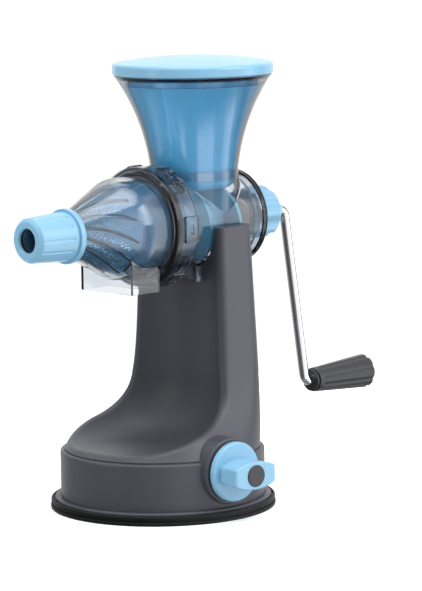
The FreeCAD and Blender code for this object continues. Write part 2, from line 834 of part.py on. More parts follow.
def make_lid():
    side_low = hopper_top + lid_skirt
    side_high = side_low + lid_side
    crown_low = side_high + lid_shoulder
    top = crown_low + lid_crown
    shoulder = lid_radius - lid_shoulder
    ball = (shoulder ** 2 + lid_crown ** 2) / (2 * lid_crown)
    half = shoulder / 2
    crown = Part.Arc(
        Vec(shoulder, hopper_y, crown_low),
        Vec(half, hopper_y, top - ball + math.sqrt(ball ** 2 - half ** 2)),
        Vec(0, hopper_y, top),
    ).toShape()
    k = lid_shoulder * (1 - math.sqrt(0.5))
    edge = Part.Arc(
        Vec(lid_radius, hopper_y, side_high),
        Vec(lid_radius - k, hopper_y, crown_low - k),
        Vec(shoulder, hopper_y, crown_low),
    ).toShape()
    skirt = hopper_rim - lid_seat
    rest = section_lines([
        (0, top),
        (0, hopper_top),
        (skirt, hopper_top),
        (skirt, side_low),
        (lid_radius - lid_bevel, side_low),
        (lid_radius, side_low + lid_bevel),
        (lid_radius, side_high),
    ])
    lid = turned_hopper([crown, edge] + rest)
    hollow = pusher_neck() - pusher_wall - lid_gap
    return lid.cut(rod_z(hollow, hopper_top - bleed, side_high, 0, hopper_y))


# ---------------------------------------------------------------- rear end
def make_rear_cover():
    back = barrel_back
    plug = back - rear_plug
    dome = back + rear_dome
    end = back + rear_boss_length
    boss = bush_radius + rear_boss
    face = back + rear_seal
    cover = turned_y([
        (plug, bush_radius),
        (plug, barrel_bore),
        (face, barrel_bore),
        (face, barrel_radius - rear_inset),
        (dome, barrel_radius - rear_inset, rear_round),
        (dome, boss + rear_boss_foot, rear_boss_round),
        (end, boss, rear_boss_round),
        (end, bush_radius),
    ])
    well = turned_y([
        (plug - bleed, boss + rear_boss_foot),
        (plug - bleed, barrel_bore - rear_wall),
        (dome - rear_wall, barrel_bore - rear_wall),
        (dome - rear_wall, boss + rear_boss_foot),
    ])
    return cover.cut(well)


def make_rear_seal():
    face = barrel_back + rear_seal
    return turned_y([
        (barrel_back, barrel_bore),
        (barrel_back, barrel_radius + seal_proud, seal_round),
        (face, barrel_radius + seal_proud, seal_round),
        (face, barrel_bore),
    ])


def make_shaft_bush():
    front = barrel_back - rear_plug
    back = hub_front - washer - seat_gap
    return turned_y([
        (front - bush_lip_width, shaft_radius + turn_gap),
        (front - bush_lip_width, bush_radius + bush_lip),
        (front, bush_radius + bush_lip),
        (front, bush_radius),
        (back, bush_radius),
        (back, shaft_radius + turn_gap),
    ])


def make_thrust_washer():
    rim = bush_radius + washer_reach
    front = hub_front - washer
    return turned_y([(front, shaft_radius), (front, rim), (hub_front, rim), (hub_front, shaft_radius)])


# ---------------------------------------------------------------- front end
def cone_line(offset):
    """Outline of the front cover, moved inwards by an offset, up to the shoulder."""
    return [(cone_end, cone_tip - offset), (cone_start, cover_radius - offset, cone_round)]


def cone_radius(y, offset):
    """Radius on the straight part of that outline."""
    slope = (cover_radius - cone_tip) / (cone_start - cone_end)
    return cone_tip + slope * (y - cone_end) - offset


def make_front_cover():
    neck_y = cone_end - tip_face
    recess = neck_radius + seat_gap
    core = cover_radius + flange_core
    shell = turned_y([
        (nozzle_end, 0),
        (nozzle_end, nozzle_radius),
        (neck_y, nozzle_radius),
        (neck_y, cone_tip - tip_step),
    ] + cone_line(0.0) + [
        (flange_front, cover_radius),
        (flange_front, core),
        (flange_back, core),
        (flange_back, 0),
    ])
    tall = axis_z - chute_bottom
    chute = box(-chute_half, chute_half, chute_front, chute_back, chute_bottom, axis_z)
    chute = fillet_near(chute, chute_round, lambda e: abs(e.BoundBox.ZLength - tall) < 0.01)
    inside = turned_y([
        (nozzle_end - bleed, 0),
        (nozzle_end - bleed, nozzle_bore),
        (cone_end, nozzle_bore),
    ] + cone_line(cover_wall) + [
        (flange_front - seat_gap, cover_radius - cover_wall),
        (flange_front - seat_gap, recess),
        (flange_back + bleed, recess),
        (flange_back + bleed, 0),
    ])
    half = chute_half - chute_wall
    well = box(-half, half, chute_front + chute_wall, chute_back - chute_wall, chute_bottom - bleed, axis_z)
    return shell.fuse(chute).cut(inside).cut(well.cut(chute_roof())).removeSplitter()


def chute_roof():
    """Keeps the cone's wall over the chute, apart from the juice outlet."""
    keep = turned_y([(cone_end, 0)] + cone_line(0.0) + [(chute_back, cover_radius), (chute_back, 0)])
    front = chute_front + outlet_front
    back = chute_back - outlet_back
    return keep.cut(box(-outlet_half, outlet_half, front, back, chute_bottom, axis_z))


def spiral_rib(angle):
    """One spiral rib that stands on the strainer's cone, and is low at both ends."""
    first = cone_end + rib_front
    last = cone_start - rib_rear
    wires = []
    for share, height in ((0.0, 0.1), (0.12, 0.9), (0.35, 1.0), (0.65, 1.0), (0.88, 0.9), (1.0, 0.1)):
        y = first + share * (last - first)
        surface = cone_radius(y, strainer_outer)
        low = axis_z + surface - rib_root
        high = axis_z + surface + rib_height * height
        half = rib_half * (0.4 + 0.6 * height)
        corners = [Vec(-half, y, low), Vec(-half / 2, y, high), Vec(half / 2, y, high), Vec(half, y, low)]
        wire = Part.makePolygon(corners + corners[:1])
        wires.append(about_axis(wire, angle + rib_twist * share))
    return Part.makeLoft(wires, True, False)


def slot_row(angle):
    """Short slanted slots in the valley between two ribs."""
    first = cone_end + slot_front
    last = cone_start - slot_rear
    rib_start = cone_end + rib_front
    rib_length = cone_start - rib_rear - rib_start
    half = slot_width / 2
    slots = []
    for i in range(int((last - first) / slot_pitch) + 1):
        y = first + slot_pitch * i
        surface = axis_z + cone_radius(y, strainer_outer)
        y0 = y - slot_length / 2
        slot = box(-half, half, y0, y0 + slot_length, surface - slot_reach, surface + slot_reach)
        slot.rotate(Vec(0, y, axis_z), Vec(0, 0, 1), slot_tilt)
        slots.append(about_axis(slot, angle + rib_twist * (y - rib_start) / rib_length))
    return slots


def make_strainer():
    lip_front = flange_front - seat_gap
    shell = turned_y(cone_line(strainer_outer) + [
        (lip_front, cover_radius - strainer_outer),
        (lip_front, neck_radius),
        (flange_back, neck_radius),
        (flange_back, cover_radius - strainer_inner),
    ] + list(reversed(cone_line(strainer_inner))))
    step = 360.0 / rib_count
    shell = shell.fuse([spiral_rib(step * i) for i in range(rib_count)])
    slots = []
    for i in range(rib_count):
        slots += slot_row(step * (i + 0.5))
    return shell.cut(Part.makeCompound(slots)).removeSplitter()


def make_cover_seal():
    """One gasket seals the faces of barrel and cover, and wraps the cover's flange and the barrel's rim."""
    core = cover_radius + flange_core
    front = flange_front - gasket
    rear = barrel_front + gasket
    return turned_y([
        (front, cover_radius),
        (front, flange_radius, seal_round),
        (rear, flange_radius, seal_round),
        (rear, neck_radius),
        (barrel_front, neck_radius),
        (barrel_front, barrel_bore),
        (flange_back, barrel_bore),
        (flange_back, core),
        (flange_front, core),
        (flange_front, cover_radius),
    ])


def make_lock_ring():
    mouth = cover_radius + slip
    inner = flange_front - gasket - slip
    ring = turned_y([
        (ring_front, mouth),
        (ring_front, ring_radius - ring_bevel),
        (ring_front + ring_bevel, ring_radius, ring_round),
        (ring_back, ring_radius, ring_rear_round),
        (ring_back, pocket_radius),
        (inner, pocket_radius),
        (inner, mouth),
    ])
    hook_front = lug_front + lug_width + slip
    hook_width = ring_back - ring_lip - hook_front - slip
    start = Vec(0, hook_front, axis_z)
    hook = Part.makeCylinder(pocket_radius + bleed, hook_width, start, Vec(0, 1, 0), lug_angle)
    hook = hook.cut(rod_y(neck_radius + slip, hook_front - bleed, ring_back))
    hooks = [about_axis(hook, 360.0 / lug_count * i) for i in range(lug_count)]
    front = ring_back - tab_width
    middle = ring_back - tab_width / 2
    top = axis_z + ring_radius + tab_rise
    tab = box(-tab_half, tab_half, front, ring_back, axis_z + pocket_radius + bleed, top)
    tab = fillet_near(tab, tab_round, lambda e: e.BoundBox.ZLength > tab_rise)
    tab = fillet_near(tab, tab_edge, lambda e: e.BoundBox.ZMin > top - 0.1)
    reach = tab_hole_half
    half = tab_hole_width / 2
    hole = box(-reach, reach, middle - half, middle + half, top - tab_hole_depth, top + bleed)
    hole = fillet_near(hole, half - seat_gap, lambda e: e.BoundBox.ZLength > tab_hole_depth)
    tab = tab.cut(hole)
    step = 360.0 / tab_count
    tabs = [about_axis(tab, step * (i + 0.5)) for i in range(tab_count)]
    return ring.fuse(hooks + tabs).removeSplitter()


def make_nozzle_cap():
    front = nozzle_cap_front
    back = cone_end + nozzle_cap_lap
    collar = back - nozzle_cap_collar
    tube = nozzle_radius + turn_gap
    hole = nozzle_bore - hole_step
    body = turned_y([
        (front, 0),
        (front, nozzle_cap_nose, 1.0),
        (front + nozzle_cap_wall, nozzle_cap_shoulder, 2.0),
        (collar, nozzle_cap_body),
        (collar, nozzle_cap_rim, 0.6),
        (back, nozzle_cap_rim, 1.0),
        (back, 0),
    ])
    flutes = []
    for i in range(cap_flutes):
        start = Vec(0, front - nozzle_cap_lap, axis_z + cap_flute_z)
        flute = Part.makeCylinder(cap_flute, collar - front, start, Vec(0, 1, cap_flute_slope))
        flutes.append(about_axis(flute, 360.0 / cap_flutes * i))
    body = body.cut(Part.makeCompound(flutes))
    inside = front + nozzle_cap_wall
    floor = cone_end - mouth_depth
    return body.cut(turned_y([
        (front - bleed, 0),
        (front - bleed, hole + hole_bevel),
        (front + bleed, hole, 1.0),
        (inside, hole),
        (inside, tube),
        (floor, tube),
        (floor, mouth_throat),
        (back + bleed, nozzle_cap_mouth),
        (back + bleed, 0),
    ])).removeSplitter()


def make_nozzle_seal():
    rim = nozzle_radius - slip
    front = nozzle_end - gasket
    return turned_y([(front, nozzle_bore), (front, rim), (nozzle_end, rim), (nozzle_end, nozzle_bore)])


# ---------------------------------------------------------------- auger
def auger_envelope():
    inner = strainer_inner + auger_cone_gap
    start = cone_radius(auger_tip, inner)
    slope = cone_radius(auger_tip + 1, inner) - start
    full = auger_tip + (auger_radius - start) / slope
    return turned_y([
        (auger_tip, 0),
        (auger_tip, start),
        (full, auger_radius),
        (auger_back, auger_radius),
        (auger_back, 0),
    ])


def auger_flight():
    """The screw's blade, thicker at its root, swept far enough to be trimmed all round."""
    length = auger_back - auger_tip + flight_over
    helix = Part.Wire(Part.makeLongHelix(auger_pitch, length, 10.0))
    root = flight_wall * 0.8
    rim = flight_wall * 0.4
    inner = tip_radius - flight_sunk
    outer = auger_radius + flight_over
    profile = [Vec(inner, 0, -root), Vec(outer, 0, -rim), Vec(outer, 0, rim), Vec(inner, 0, root)]
    sweep = Part.BRepOffsetAPI.MakePipeShell(helix)
    sweep.setBiNormalMode(Vec(0, 0, 1))
    sweep.add(Part.makePolygon(profile + profile[:1]))
    sweep.build()
    sweep.makeSolid()
    flight = sweep.shape()
    flight.rotate(Vec(0, 0, 0), Vec(1, 0, 0), -90)
    flight.translate(Vec(0, auger_tip - flight_over, axis_z))
    return flight.common(auger_envelope())


def make_auger():
    collar = auger_back - auger_collar_width
    core = turned_y([
        (auger_tip, 0),
        (auger_tip, tip_radius, tip_round),
        (cone_start, auger_radius - core_swell, core_blend),
        (core_start, auger_core, core_blend),
        (collar, auger_core),
        (collar, auger_collar),
        (auger_back, auger_collar),
        (auger_back, 0),
    ])
    auger = core.fuse(auger_flight())
    return auger.cut(rod_y(shaft_radius, shaft_front, auger_back + bleed)).removeSplitter()


def make_drive_shaft():
    shaft = turned_y([
        (shaft_front, 0),
        (shaft_front, shaft_radius),
        (rod_start, shaft_radius, shaft_round),
        (rod_start, 0),
    ])
    return shaft.cut(make_crank_pin())


# ---------------------------------------------------------------- crank
def lobed_outline(y):
    """A round outline of arcs, with lobes and hollows in turn."""
    middle = hub_radius - lobe_depth / 2
    edges = []
    for i in range(2 * hub_lobes):
        radius = hub_radius if i % 2 == 0 else hub_radius - lobe_depth
        points = []
        for shift, r in ((-0.5, middle), (0.0, radius), (0.5, middle)):
            a = math.pi * (i + shift) / hub_lobes
            points.append(Vec(r * math.sin(a), y, axis_z + r * math.cos(a)))
        edges.append(Part.Arc(*points).toShape())
    return Part.Wire(edges)


def make_crank_hub():
    back = hub_front + hub_length
    nose = back + hub_nose
    block = Part.Face(lobed_outline(hub_front)).extrude(Vec(0, hub_length, 0))
    limit = turned_y([
        (hub_front, 0),
        (hub_front, hub_radius - hub_bevel),
        (hub_front + hub_bevel_width, hub_radius, hub_edge),
        (back - hub_slope, hub_radius, hub_round),
        (back, hub_radius - hub_slope, hub_edge),
        (back, 0),
    ])
    cone = turned_y([
        (back - nose_sunk, 0),
        (back - nose_sunk, nose_root),
        (back, nose_root, hub_edge),
        (nose, rod_radius + nose_wall, 1.0),
        (nose, 0),
    ])
    hub = block.common(limit).fuse(cone)
    hub = hub.cut(rod_y(shaft_radius, hub_front - bleed, rod_start))
    hub = hub.cut(rod_y(rod_radius, rod_start, nose + bleed))
    return hub.cut(make_crank_pin()).removeSplitter()


def make_crank_pin():
    return rod_x(pin_radius, -pin_reach, pin_reach, hub_front + pin_behind, axis_z)


def make_crank_rod():
    path = rounded_path([
        (Vec(0, rod_start, axis_z), 0),
        (Vec(0, rod_turn_y, axis_z), rod_bend),
        (Vec(0, grip_y, grip_z), rod_bend),
        (Vec(0, rod_end, grip_z), 0),
    ], False)
    circle = Part.Wire([Part.Circle(Vec(0, rod_start, axis_z), Vec(0, 1, 0), rod_radius).toShape()])
    return path.makePipeShell([circle], True, False)


def make_grip():
    body = turned_y([
        (grip_start, 0),
        (grip_start, grip_small, grip_edge),
        (grip_end, grip_large),
        (grip_end, 0),
    ], grip_z)
    slope = (grip_large - grip_small) / grip_length
    centre = grip_small + flute_radius - flute_depth
    flutes = []
    for i in range(flute_count):
        start = Vec(0, grip_start + flute_start, grip_z + centre + flute_start * slope)
        flute = Part.makeCylinder(flute_radius, grip_length, start, Vec(0, 1, slope))
        flute.rotate(Vec(0, 0, grip_z), Vec(0, 1, 0), 360.0 * (i + 0.5) / flute_count)
        flutes.append(flute)
    body = body.cut(Part.makeCompound(flutes))
    bore = rod_y(rod_radius + turn_gap, grip_start - bleed, grip_end, 0, grip_z)
    socket = rod_y(socket_radius, grip_end - socket_depth, grip_end + bleed, 0, grip_z)
    return body.cut(bore).cut(socket).removeSplitter()


def make_grip_end_cap():
    plug = grip_end - grip_plug + slip
    rim = grip_large - flute_depth / 2
    return turned_y([
        (plug, 0),
        (plug, socket_radius),
        (grip_end, socket_radius),
        (grip_end, rim, grip_edge),
        (grip_end + grip_tip, grip_point, grip_end_round),
        (grip_end + grip_tip, 0),
    ], grip_z)


def make_grip_collar():
    back = grip_start - slip
    front = back - collar_length
    return turned_y([
        (front, rod_radius),
        (front, collar_radius, collar_round),
        (back, collar_radius, collar_round),
        (back, rod_radius),
    ], grip_z)


def make_grip_retainer():
    front = rod_end - retainer_width
    rim = socket_radius - retainer_gap
    return turned_y([
        (front, rod_radius),
        (front, rim),
        (front + retainer_width / 2, rim),
        (rod_end, rod_radius + retainer_lip),
        (rod_end, rod_radius),
    ], grip_z)


# ---------------------------------------------------------------- build
makers = {
    "base_housing": make_base_housing,
    "base_ring": make_base_ring,
    "suction_pad": make_suction_pad,
    "lift_yoke": make_lift_yoke,
    "cam_spindle": make_cam_spindle,
    "knob": make_knob,
    "knob_screw": make_knob_screw,
    "knob_cap": make_knob_cap,
    "barrel_body": make_barrel_body,
    "barrel_screws": make_barrel_screws,
    "hopper": make_hopper,
    "pusher": make_pusher,
    "lid": make_lid,
    "rear_cover": make_rear_cover,
    "rear_seal": make_rear_seal,
    "shaft_bush": make_shaft_bush,
    "thrust_washer": make_thrust_washer,
    "front_cover": make_front_cover,
    "strainer": make_strainer,
    "cover_seal": make_cover_seal,
    "lock_ring": make_lock_ring,
    "nozzle_cap": make_nozzle_cap,
    "nozzle_seal": make_nozzle_seal,
    "auger": make_auger,
    "drive_shaft": make_drive_shaft,
    "crank_hub": make_crank_hub,
    "crank_pin": make_crank_pin,
    "crank_rod": make_crank_rod,
    "grip": make_grip,
    "grip_end_cap": make_grip_end_cap,
    "grip_collar": make_grip_collar,
    "grip_retainer": make_grip_retainer,
}

for name, maker in makers.items():
    save(name, maker())
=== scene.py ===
import json
import math

import bpy
from mathutils import Matrix, Vector


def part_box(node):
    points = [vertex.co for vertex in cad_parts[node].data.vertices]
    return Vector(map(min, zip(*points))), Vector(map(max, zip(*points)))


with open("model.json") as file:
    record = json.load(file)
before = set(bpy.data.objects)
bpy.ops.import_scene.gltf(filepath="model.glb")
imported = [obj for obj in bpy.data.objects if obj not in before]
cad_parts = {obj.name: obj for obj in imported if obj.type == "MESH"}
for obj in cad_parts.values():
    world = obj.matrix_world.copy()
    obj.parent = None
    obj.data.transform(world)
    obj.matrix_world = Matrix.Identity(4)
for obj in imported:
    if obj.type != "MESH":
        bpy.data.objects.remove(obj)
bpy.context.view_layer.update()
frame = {"nodes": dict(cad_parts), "record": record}

# ---------------------------------------------------------------- places taken from the frame
axis_z = sum(c.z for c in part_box("drive_shaft")) / 2          # height of the juicing head's axis
rim_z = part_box("hopper")[1].z
cone_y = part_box("front_cover")[0].y                           # front of the clear cover

# ---------------------------------------------------------------- camera, in metres and radians
camera_azimuth = math.radians(46.37)       # from the object's front, towards +X
camera_distance = 2.09615                  # from the upright line through the origin
camera_height = 0.43065
camera_yaw = math.radians(-0.93)           # its turn away from that line
camera_pitch = math.radians(-7.90)
camera_roll = math.radians(-0.92)
focal_pixels = 3195.27                     # in a frame of this height
image_height = 591.0
sensor = 36.0                              # millimetres along the frame's longer side
clip_start = 0.1
clip_end = 100.0

# ---------------------------------------------------------------- floor
floor_radius = 0.55
floor_sides = 96
floor_color = 0.86
floor_glow = 0.30         # for the camera, under the object
edge_glow = 0.60          # at the floor's edge, where it goes over into the white room
glow_start = 0.4          # share of the radius where the glow begins to grow
floor_bounce = 0.70       # how much of the light it throws back on the object

# ---------------------------------------------------------------- room: brightness by direction
white_room = 1.10         # what the camera sees behind the object
ceiling = 1.10            # brightness overhead
ceiling_low = 0.45        # where the walls end, as the height of a direction
ceiling_high = 0.80
pit = 0.22                # brightness straight down, seen mostly by reflections
pit_high = -0.56
pit_low = -0.82
soft_walls = (            # degrees right of the camera, and the wall's brightness for soft light
    (-180, 0.80),
    (-120, 0.95),
    (-60, 0.90),
    (-25, 0.45),
    (25, 0.50),
    (50, 1.25),
    (100, 1.20),
    (140, 0.80),
    (180, 0.80),
)
mirrored_walls = (        # the same in a reflection
    (-180, 1.10),
    (-150, 1.10),
    (-140, 0.40),
    (-120, 0.40),
    (-92, 0.33),
    (-82, 0.04),
    (-38, 0.04),
    (-30, 0.22),
    (6, 0.22),
    (14, 1.10),
    (72, 1.10),
    (80, 2.80),
    (94, 2.80),
    (101, 0.42),
    (108, 0.30),
    (118, 0.15),
    (130, 0.90),
    (150, 1.10),
    (180, 1.10),
)
bent_walls = (            # and for light that comes through the clear plastic
    (-180, 1.05),
    (-173, 1.05),
    (-167, 0.12),
    (-118, 0.12),
    (-98, 1.00),
    (-78, 0.50),
    (-66, 2.60),
    (-28, 2.60),
    (-18, 0.50),
    (2, 0.50),
    (12, 2.60),
    (48, 2.60),
    (58, 0.50),
    (80, 0.50),
    (98, 1.20),
    (118, 0.12),
    (167, 0.12),
    (173, 1.05),
    (180, 1.05),
)

# ---------------------------------------------------------------- light paths
clear_bounces = 24        # how often a ray may bounce or pass through a clear wall
see_through_bounces = 16  # and how often it may go on through a transparent surface

# ---------------------------------------------------------------- sizes and colours of the materials
solid_ior = 1.5
clear_ior = 1.45
smoky_tint = (0.93, 0.95, 0.97)
smoky_absorption = (0.45, 0.52, 0.60)      # the lower a part of it, the sooner that colour fades
smoky_density = 80.0                       # per metre of plastic
ring_density = 190.0                       # the lock ring is darker
rim_painted_shadow_start = rim_z - 0.0030            # the painted shadow of the gap under the lid fades in between these
rim_painted_shadow_full = rim_z - 0.0012
rim_painted_shadow_color = (0.02, 0.03, 0.06)
rib_start = cone_y + 0.0320                # front ends of the strainer's ribs
rib_length = 0.0360
rib_twist = math.radians(42)               # their turn over that length
rib_step = math.radians(30)                # from one to the next
rib_tint_and_shade_core = 0.0005                     # half the width of a rib's full painted shade and deeper tint
rib_tint_and_shade_edge = 0.0011                     # and where it has faded out
rib_tint_and_shade_color = (0.02, 0.06, 0.11)


def make_camera():
    data = bpy.data.cameras.new("camera")
    data.sensor_width = sensor
    data.lens = focal_pixels * sensor / image_height
    data.clip_start = clip_start
    data.clip_end = clip_end
    camera = bpy.data.objects.new("camera", data)
    bpy.context.scene.collection.objects.link(camera)
    a = camera_azimuth
    level = Vector((-math.sin(a + camera_yaw), math.cos(a + camera_yaw), 0.0))
    forward = level * math.cos(camera_pitch) + Vector((0, 0, math.sin(camera_pitch)))
    right = forward.cross(Vector((0, 0, 1))).normalized()
    up = right.cross(forward)
    rolled_right = right * math.cos(camera_roll) + up * math.sin(camera_roll)
    rolled_up = up * math.cos(camera_roll) - right * math.sin(camera_roll)
    turn = Matrix((rolled_right, rolled_up, -forward)).transposed()
    place = Vector((camera_distance * math.sin(a), -camera_distance * math.cos(a), camera_height))
    camera.matrix_world = Matrix.Translation(place) @ turn.to_4x4()
    bpy.context.scene.camera = camera


# ---------------------------------------------------------------- node helpers
class NodeTree:
    """A node tree with short names for what both the materials and the room need."""

    def __init__(self, tree):
        self.tree = tree

    def add(self, kind, **values):
        node = self.tree.nodes.new(kind)
        for name, value in values.items():
            setattr(node, name, value)
        return node

    def link(self, output, socket):
        self.tree.links.new(output, socket)

    def math(self, operation, *values):
        """One calculation, whose values are numbers or other nodes' outputs."""
        node = self.add("ShaderNodeMath", operation=operation)
        for socket, value in zip(node.inputs, values):
            if isinstance(value, (int, float)):
                socket.default_value = value
            else:
                self.link(value, socket)
        return node.outputs[0]

    def fade(self, value, start, end, low=0.0, high=1.0):
        """Goes over smoothly from low to high, as the value goes from start to end."""
        node = self.add("ShaderNodeMapRange", interpolation_type="SMOOTHSTEP")
        node.inputs["From Min"].default_value = start
        node.inputs["From Max"].default_value = end
        node.inputs["To Min"].default_value = low
        node.inputs["To Max"].default_value = high
        self.link(value, node.inputs["Value"])
        return node.outputs[0]


class Surface(NodeTree):
    """A node material built round one Principled shader."""

    def __init__(self, name, color, roughness):
        self.material = bpy.data.materials.new(name)
        self.material.use_nodes = True
        super().__init__(self.material.node_tree)
        self.shader = self.tree.nodes["Principled BSDF"]
        self.color = color
        self.set("Base Color", (*color, 1.0))
        self.set("Roughness", roughness)
        self.where = self.add("ShaderNodeTexCoord").outputs["Object"]
        split = self.add("ShaderNodeSeparateXYZ")
        self.link(self.where, split.inputs[0])
        self.parts = split.outputs
        self.base = None
        self.height = None

    def set(self, socket, value):
        self.shader.inputs[socket].default_value = value

    def scatter_inside(self, weight, scale, radius=None):
        """Lets light wander under the surface, this deep in metres, and this far in each colour."""
        self.set("Subsurface Weight", weight)
        if radius is not None:
            self.set("Subsurface Radius", radius)
        self.set("Subsurface Scale", scale)

    def noise(self, size, detail=3.0, stretch=(1.0, 1.0, 1.0)):
        """Noise from 0 to 1, with features about this long, in metres."""
        place = self.add("ShaderNodeMapping")
        place.inputs["Scale"].default_value = stretch
        self.link(self.where, place.inputs["Vector"])
        node = self.add("ShaderNodeTexNoise")
        node.inputs["Scale"].default_value = 1.0 / size
        node.inputs["Detail"].default_value = detail
        self.link(place.outputs[0], node.inputs["Vector"])
        return node.outputs["Fac"]

    def vary_color(self, value, amount):
        """Lets the colour drift by a share, up and down."""
        mix = self.add("ShaderNodeMix", data_type="RGBA")
        low = [c * (1 - amount) for c in self.color]
        high = [min(1.0, c * (1 + amount)) for c in self.color]
        self.link(value, mix.inputs["Factor"])
        mix.inputs["A"].default_value = (*low, 1.0)
        mix.inputs["B"].default_value = (*high, 1.0)
        self.base = mix.outputs["Result"]
        self.link(self.base, self.shader.inputs["Base Color"])

    def mix_color(self, value, color):
        """Goes over from the colour so far to another one where the value is 1."""
        mix = self.add("ShaderNodeMix", data_type="RGBA")
        self.link(value, mix.inputs["Factor"])
        self.link(self.base, mix.inputs["A"])
        mix.inputs["B"].default_value = (*color, 1.0)
        self.base = mix.outputs["Result"]
        self.link(self.base, self.shader.inputs["Base Color"])

    def vary_roughness(self, value, low, high):
        span = self.add("ShaderNodeMapRange")
        span.inputs["To Min"].default_value = low
        span.inputs["To Max"].default_value = high
        self.link(value, span.inputs["Value"])
        self.link(span.outputs[0], self.shader.inputs["Roughness"])

    def raise_by(self, value, depth):
        """Adds a relief of this depth, in metres, to the bump."""
        bump = self.add("ShaderNodeBump")
        bump.inputs["Distance"].default_value = depth
        bump.inputs["Strength"].default_value = 1.0
        self.link(value, bump.inputs["Height"])
        if self.height is not None:
            self.link(self.height, bump.inputs["Normal"])
        self.height = bump.outputs["Normal"]
        self.link(self.height, self.shader.inputs["Normal"])


# ---------------------------------------------------------------- materials
def dark_plastic():
    s = Surface("dark_satin_plastic", color=(0.056, 0.058, 0.074), roughness=0.42)
    s.set("IOR", solid_ior)
    s.vary_color(s.noise(size=0.030), amount=0.05)
    s.vary_roughness(s.noise(size=0.004, detail=4.0), low=0.36, high=0.50)
    s.raise_by(s.noise(size=0.00035, detail=2.0), depth=0.00002)
    s.raise_by(s.noise(size=0.040, detail=1.0), depth=0.00010)
    return s.material


def blue_plastic():
    s = Surface("light_blue_plastic", color=(0.225, 0.46, 0.65), roughness=0.22)
    s.set("IOR", solid_ior)
    s.scatter_inside(weight=0.15, scale=0.002, radius=(0.5, 0.9, 1.0))
    s.vary_color(s.noise(size=0.020), amount=0.03)
    s.vary_roughness(s.noise(size=0.006, detail=4.0), low=0.18, high=0.28)
    s.raise_by(s.noise(size=0.018, detail=1.0), depth=0.00006)
    return s.material


def deep_blue_plastic(name, color, low, high):
    """The blue of the pieces inside the clear ones."""
    s = Surface(name, color, roughness=0.25)
    s.set("IOR", solid_ior)
    s.scatter_inside(weight=0.2, scale=0.003, radius=(0.3, 0.8, 1.0))
    s.vary_color(s.noise(size=0.025), amount=0.05)
    s.vary_roughness(s.noise(size=0.006, detail=4.0), low, high)
    return s.material


def inner_blue():
    return deep_blue_plastic("blue_inner_plastic", (0.125, 0.50, 0.83), low=0.09, high=0.16)


def auger_plastic():
    return deep_blue_plastic("auger_plastic", (0.24, 0.56, 0.75), low=0.2, high=0.3)


def smoky_surface(name, density):
    """Clear plastic whose tint grows with the way through it, so that its edges are darker."""
    s = Surface(name, smoky_tint, roughness=0.03)
    s.set("IOR", clear_ior)
    s.set("Transmission Weight", 1.0)
    s.vary_color(s.noise(size=0.030), amount=0.02)
    s.vary_roughness(s.noise(size=0.010, detail=3.0), low=0.01, high=0.05)
    s.raise_by(s.noise(size=0.015, detail=1.0), depth=0.00005)
    inside = s.add("ShaderNodeVolumeAbsorption")
    inside.inputs["Color"].default_value = (*smoky_absorption, 1.0)
    inside.inputs["Density"].default_value = density
    s.link(inside.outputs[0], s.tree.nodes["Material Output"].inputs["Volume"])
    return s


def smoky_plastic():
    return smoky_surface("smoky_clear_plastic", smoky_density).material


def ring_plastic():
    return smoky_surface("smoky_ring_plastic", ring_density).material


def hopper_plastic():
    """The smoky plastic, with painted shadow of the gap under the lid along its rim."""
    s = smoky_surface("smoky_hopper_plastic", smoky_density)
    z = s.parts[2]
    # painted shadow of the gap between lid and rim, darkening the top of the hopper
    s.mix_color(s.fade(z, rim_painted_shadow_start, rim_painted_shadow_full), rim_painted_shadow_color)
    return s.material


def strainer_plastic():
    """Bluish clear plastic that is a little milky, with painted shade along its spiral ribs, partly the
    deeper tint of their thicker plastic.
    """
    s = Surface("strainer_plastic", color=(0.38, 0.68, 0.88), roughness=0.04)
    s.set("IOR", solid_ior)
    s.set("Transmission Weight", 0.88)
    s.vary_color(s.noise(size=0.020), amount=0.04)
    s.vary_roughness(s.noise(size=0.006, detail=4.0), low=0.01, high=0.05)
    s.raise_by(s.noise(size=0.010, detail=1.0), depth=0.00004)
    x, y, z = s.parts
    up = s.math("SUBTRACT", z, axis_z)
    radius = s.math("SQRT", s.math("ADD", s.math("MULTIPLY", x, x), s.math("MULTIPLY", up, up)))
    turn = s.math("ARCTAN2", x, up)
    share = s.math("DIVIDE", s.math("SUBTRACT", y, rib_start), rib_length)
    lag = s.math("SUBTRACT", turn, s.math("MULTIPLY", share, rib_twist))
    off = s.math("PINGPONG", lag, rib_step / 2)
    # painted shade along each rib for its shaded side, partly the deeper tint of the thicker crest
    rib_tint_and_shade_mask = s.fade(s.math("MULTIPLY", off, radius), rib_tint_and_shade_edge, rib_tint_and_shade_core)
    along = s.math("MULTIPLY", s.math("GREATER_THAN", share, 0.0), s.math("LESS_THAN", share, 1.0))
    s.mix_color(s.math("MULTIPLY", rib_tint_and_shade_mask, along), rib_tint_and_shade_color)
    return s.material


def black_rubber():
    s = Surface("black_rubber", color=(0.006, 0.0065, 0.0065), roughness=0.6)
    s.set("Specular IOR Level", 0.25)
    s.vary_color(s.noise(size=0.010), amount=0.15)
    s.vary_roughness(s.noise(size=0.003, detail=4.0), low=0.45, high=0.65)
    s.raise_by(s.noise(size=0.0005, detail=2.0), depth=0.00003)
    return s.material


def grip_plastic():
    s = Surface("grip_plastic", color=(0.020, 0.021, 0.026), roughness=0.34)
    s.vary_color(s.noise(size=0.015), amount=0.06)
    s.vary_roughness(s.noise(size=0.003, detail=4.0), low=0.32, high=0.46)
    s.raise_by(s.noise(size=0.0004, detail=2.0), depth=0.00002)
    return s.material


def chrome():
    s = Surface("chrome", color=(0.83, 0.83, 0.84), roughness=0.06)
    s.set("Metallic", 1.0)
    s.vary_roughness(s.noise(size=0.004, detail=4.0), low=0.04, high=0.10)
    s.raise_by(s.noise(size=0.010, detail=1.0), depth=0.00002)
    return s.material


